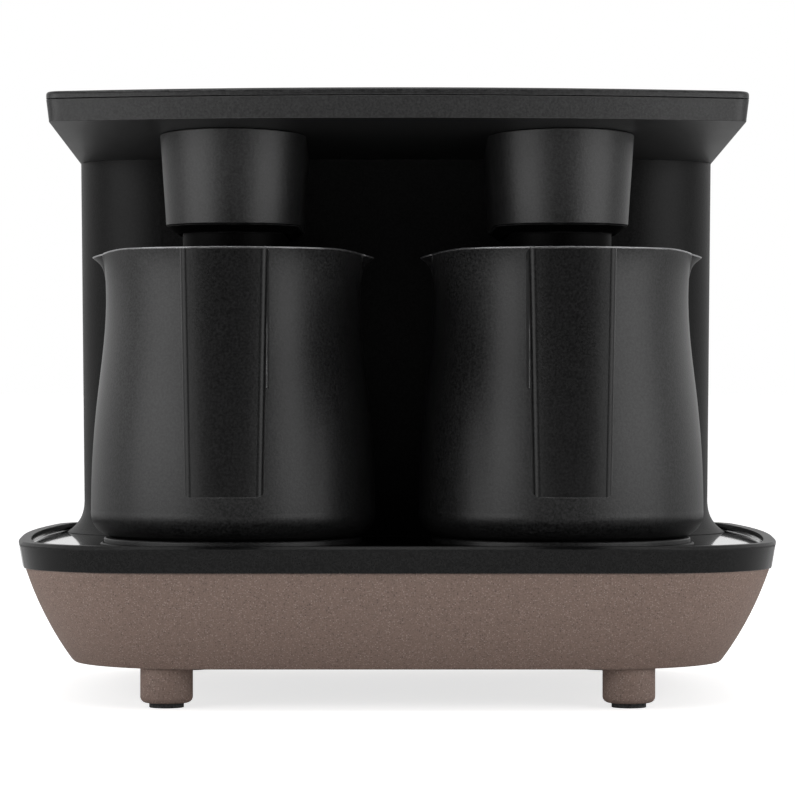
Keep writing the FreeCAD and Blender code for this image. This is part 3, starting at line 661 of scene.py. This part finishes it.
def cross_screw(head_radius, head_height, shank_radius, shank_length):
    """Pan-head screw whose head stands on Z = 0 and points up."""
    screw = rounded_disc(head_radius, 0, head_height, head_height * HEAD_ROUNDING)
    for turn in (0, math.pi / 2):
        cutter = bar(head_radius * SLOT_LENGTH, head_radius * SLOT_WIDTH,
                     head_height * RECESS_FLOOR, head_height + 1)
        cutter.rotation_euler.z = turn
        apply_modifier(screw, "BOOLEAN", operation="DIFFERENCE", object=cutter, solver="EXACT")
        bpy.data.objects.remove(cutter)
    return joined([screw, disc(shank_radius, -shank_length, SHANK_LAP)])


def place_screws(node, size, turn, places):
    """Puts a copy of the screw at each place, instead of the node's plain screws."""
    master = cross_screw(*size)
    for number, place in enumerate(places, start=1):
        screw = copied(master)
        screw.rotation_euler = (turn, 0, 0)
        screw.location = Vector(place) * MM
        settle(screw, node[:-1] + "_" + str(number), "housing", "zinc_steel")
        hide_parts(node)
    bpy.data.objects.remove(master)


def add_screws():
    rear = [(x, REAR_SCREW_Y, z) for x in REAR_SCREWS_X for z in REAR_SCREWS_Z]
    place_screws("rear_cover_screws", REAR_SCREW, -math.pi / 2, rear)
    base = [(x, y, BASE_SCREW_Z) for x in BASE_SCREWS_X for y in BASE_SCREWS_Y]
    place_screws("base_screws", BASE_SCREW, math.pi, base)


# Turned rings and seal of the hotplates

RING_RADII = (10.0, 18.0, 26.0, 34.0)
RING_HALF_WIDTH = 0.9
RING_RISE = 0.14
SEAL_RADIUS = 43.5
SEAL_HALF_WIDTH = 0.7
SEAL_HALF_HEIGHT = 0.6
SEAL_LIFT = 0.35


def add_hotplate_rings(side):
    centre = (STATION_X[side], STATION_Y, HOTPLATE_TOP)
    rings = [round_bead(centre, radius, RING_HALF_WIDTH, RING_RISE) for radius in RING_RADII]
    for ring in rings:
        fix_place(ring)
    settle(joined(rings), "hotplate_rings_" + side, "housing", "hotplate_black")


def add_hotplate_seal(side):
    centre = (STATION_X[side], STATION_Y, DECK_FLOOR + SEAL_LIFT)
    seal = round_bead(centre, SEAL_RADIUS, SEAL_HALF_WIDTH, SEAL_HALF_HEIGHT)
    # The seal takes the column's darker black, whose colour is painted shade
    settle(seal, "hotplate_seal_" + side, "housing", "column_black")


# Rolled rim of the pots, where the coating is rubbed bright. LEVEL_ENOUGH is the upward
# part of a face's normal from which the face counts as the rim's top.

RIM_BEAD = 0.28
RIM_ROUNDING = 0.12
LEVEL_ENOUGH = 0.7
MERGE_GAP = 0.01
FLAT_ANGLE = math.radians(0.5)


def add_rim_bead(side):
    """Thin rounded bead along the rim and both spouts, grown from the rim's own top faces."""
    bead = copied(NODES["pot_body_" + side])
    take(bead)
    bpy.ops.object.mode_set(mode="EDIT")
    bpy.ops.mesh.select_all(action="SELECT")
    bpy.ops.mesh.remove_doubles(threshold=MERGE_GAP * MM)
    bpy.ops.mesh.select_mode(type="FACE")
    bpy.ops.mesh.select_all(action="DESELECT")
    bpy.ops.object.mode_set(mode="OBJECT")
    for face in bead.data.polygons:
        face.select = face.normal.z < LEVEL_ENOUGH or face.center.z < RIM_LOW * MM
    bpy.ops.object.mode_set(mode="EDIT")
    bpy.ops.mesh.delete(type="FACE")
    bpy.ops.mesh.select_all(action="SELECT")
    bpy.ops.mesh.dissolve_limited(angle_limit=FLAT_ANGLE)
    close_editing()
    apply_modifier(bead, "SOLIDIFY", thickness=RIM_BEAD * MM, offset=1.0)
    apply_modifier(bead, "BEVEL", width=RIM_ROUNDING * MM, segments=2, limit_method="ANGLE")
    settle(bead, "rim_bead_" + side, "pot_" + side, "rim_steel")


# Printed marks on the buttons. The proportions of the cup are in radii of its bowl, those
# of the power mark in radii of its ring.

MARK_MIDDLE = (BUTTON_DISH + MARK_TOP) / 2
MARK_HALF_HEIGHT = (MARK_TOP - BUTTON_DISH) / 2
CUP_SIZE = 1.6
CUP_PLACES = (-2.6, 2.1)
CUP_SHIFT = 0.6
CUP_HANDLE_PLACE = (1.05, -0.35)
CUP_HANDLE_RADIUS = 0.34
CUP_LINE = 0.10
SAUCER = (2.2, 0.2)
SAUCER_DROP = 1.3
POWER_SIZE = 2.5
POWER_SHIFT = -0.4
POWER_LINE = 0.11
POWER_STEM = (0.22, 0.9)


def mark_bar(x, y, length, width):
    piece = bar(length, width, BUTTON_DISH, MARK_TOP)
    piece.location = Vector((x, y, MARK_MIDDLE)) * MM
    return piece


def cup_mark(x, y, size):
    """Flat cup seen from the side: a bowl, its handle and the saucer under it."""
    centre = Vector((x, y, BUTTON_DISH)) * MM
    deselect_all()
    bpy.ops.mesh.primitive_circle_add(vertices=40, radius=size * MM, fill_type="NGON",
                                      location=centre)
    bowl = bpy.context.object
    bpy.ops.object.mode_set(mode="EDIT")
    bpy.ops.mesh.select_all(action="SELECT")
    bpy.ops.mesh.bisect(plane_co=centre, plane_no=(0, 1, 0), clear_outer=True)
    bpy.ops.mesh.select_all(action="SELECT")
    bpy.ops.mesh.extrude_region_move(
        TRANSFORM_OT_translate={"value": (0, 0, (MARK_TOP - BUTTON_DISH) * MM)})
    bpy.ops.mesh.select_all(action="SELECT")
    bpy.ops.mesh.normals_make_consistent(inside=False)
    close_editing()
    handle_x, handle_y = CUP_HANDLE_PLACE
    handle = round_bead((x + size * handle_x, y + size * handle_y, MARK_MIDDLE),
                        size * CUP_HANDLE_RADIUS, size * CUP_LINE, MARK_HALF_HEIGHT)
    saucer = mark_bar(x, y - size * SAUCER_DROP, size * SAUCER[0], size * SAUCER[1])
    return [bowl, handle, saucer]


def power_mark(x, y, size):
    """Plain ring with an upright bar."""
    ring = round_bead((x, y, MARK_MIDDLE), size, size * POWER_LINE, MARK_HALF_HEIGHT)
    width, length = POWER_STEM
    stem = mark_bar(x, y + size * length, size * width, size * length)
    return [ring, stem]


def add_button_marks(side):
    inward = 1 if side == "left" else -1
    brew_x = STATION_X[side] + inward * BUTTON_OFFSET
    cups_x = STATION_X[side] - inward * BUTTON_OFFSET
    power = power_mark(brew_x, BUTTON_Y + POWER_SHIFT, POWER_SIZE)
    cups = []
    for shift in CUP_PLACES:
        cups += cup_mark(cups_x + shift, BUTTON_Y + CUP_SHIFT, CUP_SIZE)
    for button, shapes in (("brew_button", power), ("cups_button", cups)):
        for shape in shapes:
            fix_place(shape)
        settle(joined(shapes), button + "_mark_" + side, button + "_" + side,
               "mark_print")


# Room, light and camera

def white_floor():
    """Pale floor that keeps the shadow and meets the white backdrop without an edge."""
    material = bpy.data.materials.new("white_floor")
    material.use_nodes = True
    tree = material.node_tree
    tree.nodes.clear()
    output = node_at(tree, "ShaderNodeOutputMaterial", (800, 0))
    paint = node_at(tree, "ShaderNodeBsdfDiffuse", (0, 0))
    paint.inputs["Color"].default_value = FLOOR_PAINT
    glow = node_at(tree, "ShaderNodeEmission", (0, -200))
    glow.inputs["Strength"].default_value = FLOOR_GLOW
    both = node_at(tree, "ShaderNodeAddShader", (250, -100))
    wire(tree, paint.outputs[0], both.inputs[0])
    wire(tree, glow.outputs[0], both.inputs[1])
    path = node_at(tree, "ShaderNodeLightPath", (0, 400))
    mix = node_at(tree, "ShaderNodeMixShader", (500, 0))
    wire(tree, path.outputs["Is Camera Ray"], mix.inputs[0])
    wire(tree, paint.outputs[0], mix.inputs[1])
    wire(tree, both.outputs[0], mix.inputs[2])
    wire(tree, mix.outputs[0], output.inputs[0])
    return material


def add_floor():
    deselect_all()
    bpy.ops.mesh.primitive_plane_add(size=FLOOR_SIZE, location=(0, 0, 0))
    floor = bpy.context.object
    floor.name = "floor"
    floor.data.materials.append(white_floor())


def add_softbox(name, place, aim, size, brightness):
    """Rectangular softbox; its power follows from its size and how bright its cloth looks."""
    data = bpy.data.lights.new(name, "AREA")
    data.shape = "RECTANGLE"
    data.size, data.size_y = size
    data.energy = brightness * math.pi * size[0] * size[1]
    lamp = bpy.data.objects.new(name, data)
    bpy.context.scene.collection.objects.link(lamp)
    lamp.location = place
    lamp.rotation_euler = (Vector(aim) - Vector(place)).to_track_quat("-Z", "Y").to_euler()


def add_backdrop():
    """White to the camera all round; for light, white behind and a dim room in front."""
    world = bpy.data.worlds.new("studio")
    world.use_nodes = True
    bpy.context.scene.world = world
    tree = world.node_tree
    tree.nodes.clear()
    output = node_at(tree, "ShaderNodeOutputWorld", (900, 0))
    direction = node_at(tree, "ShaderNodeTexCoord", (-600, 0)).outputs["Generated"]
    split = node_at(tree, "ShaderNodeSeparateXYZ", (-400, 0))
    wire(tree, direction, split.inputs[0])
    behind = node_at(tree, "ShaderNodeMapRange", (-200, 0), interpolation_type="SMOOTHSTEP")
    wire(tree, split.outputs["Y"], behind.inputs[0])
    levels = (BACKDROP_START, BACKDROP_FULL, ROOM_LEVEL, BACKDROP_LEVEL)
    for index, bound in enumerate(levels, start=1):
        behind.inputs[index].default_value = bound
    path = node_at(tree, "ShaderNodeLightPath", (-200, 400))
    strength = math_node(tree, "MAXIMUM", (200, 100), path.outputs["Is Camera Ray"],
                         behind.outputs[0])
    light = node_at(tree, "ShaderNodeBackground", (500, 0))
    light.inputs["Color"].default_value = (1, 1, 1, 1)
    wire(tree, strength, light.inputs["Strength"])
    wire(tree, light.outputs[0], output.inputs[0])


def add_camera():
    """Level camera, shifted so that its line of sight meets the picture at LEVEL_POINT."""
    data = bpy.data.cameras.new("camera")
    data.sensor_fit = "HORIZONTAL"
    data.sensor_width = SENSOR
    data.lens = LENS_PIXELS * SENSOR / PHOTO_WIDTH
    data.shift_x = (PHOTO_WIDTH / 2 - LEVEL_POINT[0]) / PHOTO_WIDTH
    data.shift_y = (LEVEL_POINT[1] - PHOTO_WIDTH / 2) / PHOTO_WIDTH
    data.clip_start = NEAREST_SEEN
    data.clip_end = FARTHEST_SEEN
    camera = bpy.data.objects.new("camera", data)
    bpy.context.scene.collection.objects.link(camera)
    camera.location = EYE
    camera.rotation_euler = (math.pi / 2, 0, 0)
    bpy.context.scene.camera = camera


dress_nodes()
add_screws()
for side in SIDES:
    add_hotplate_rings(side)
    add_hotplate_seal(side)
    add_rim_bead(side)
    add_button_marks(side)

add_floor()
add_backdrop()
for name, (place, aim, size, brightness) in SOFTBOXES.items():
    add_softbox(name, place, aim, size, brightness)
add_camera()
bpy.context.scene.view_settings.view_transform = "Standard"
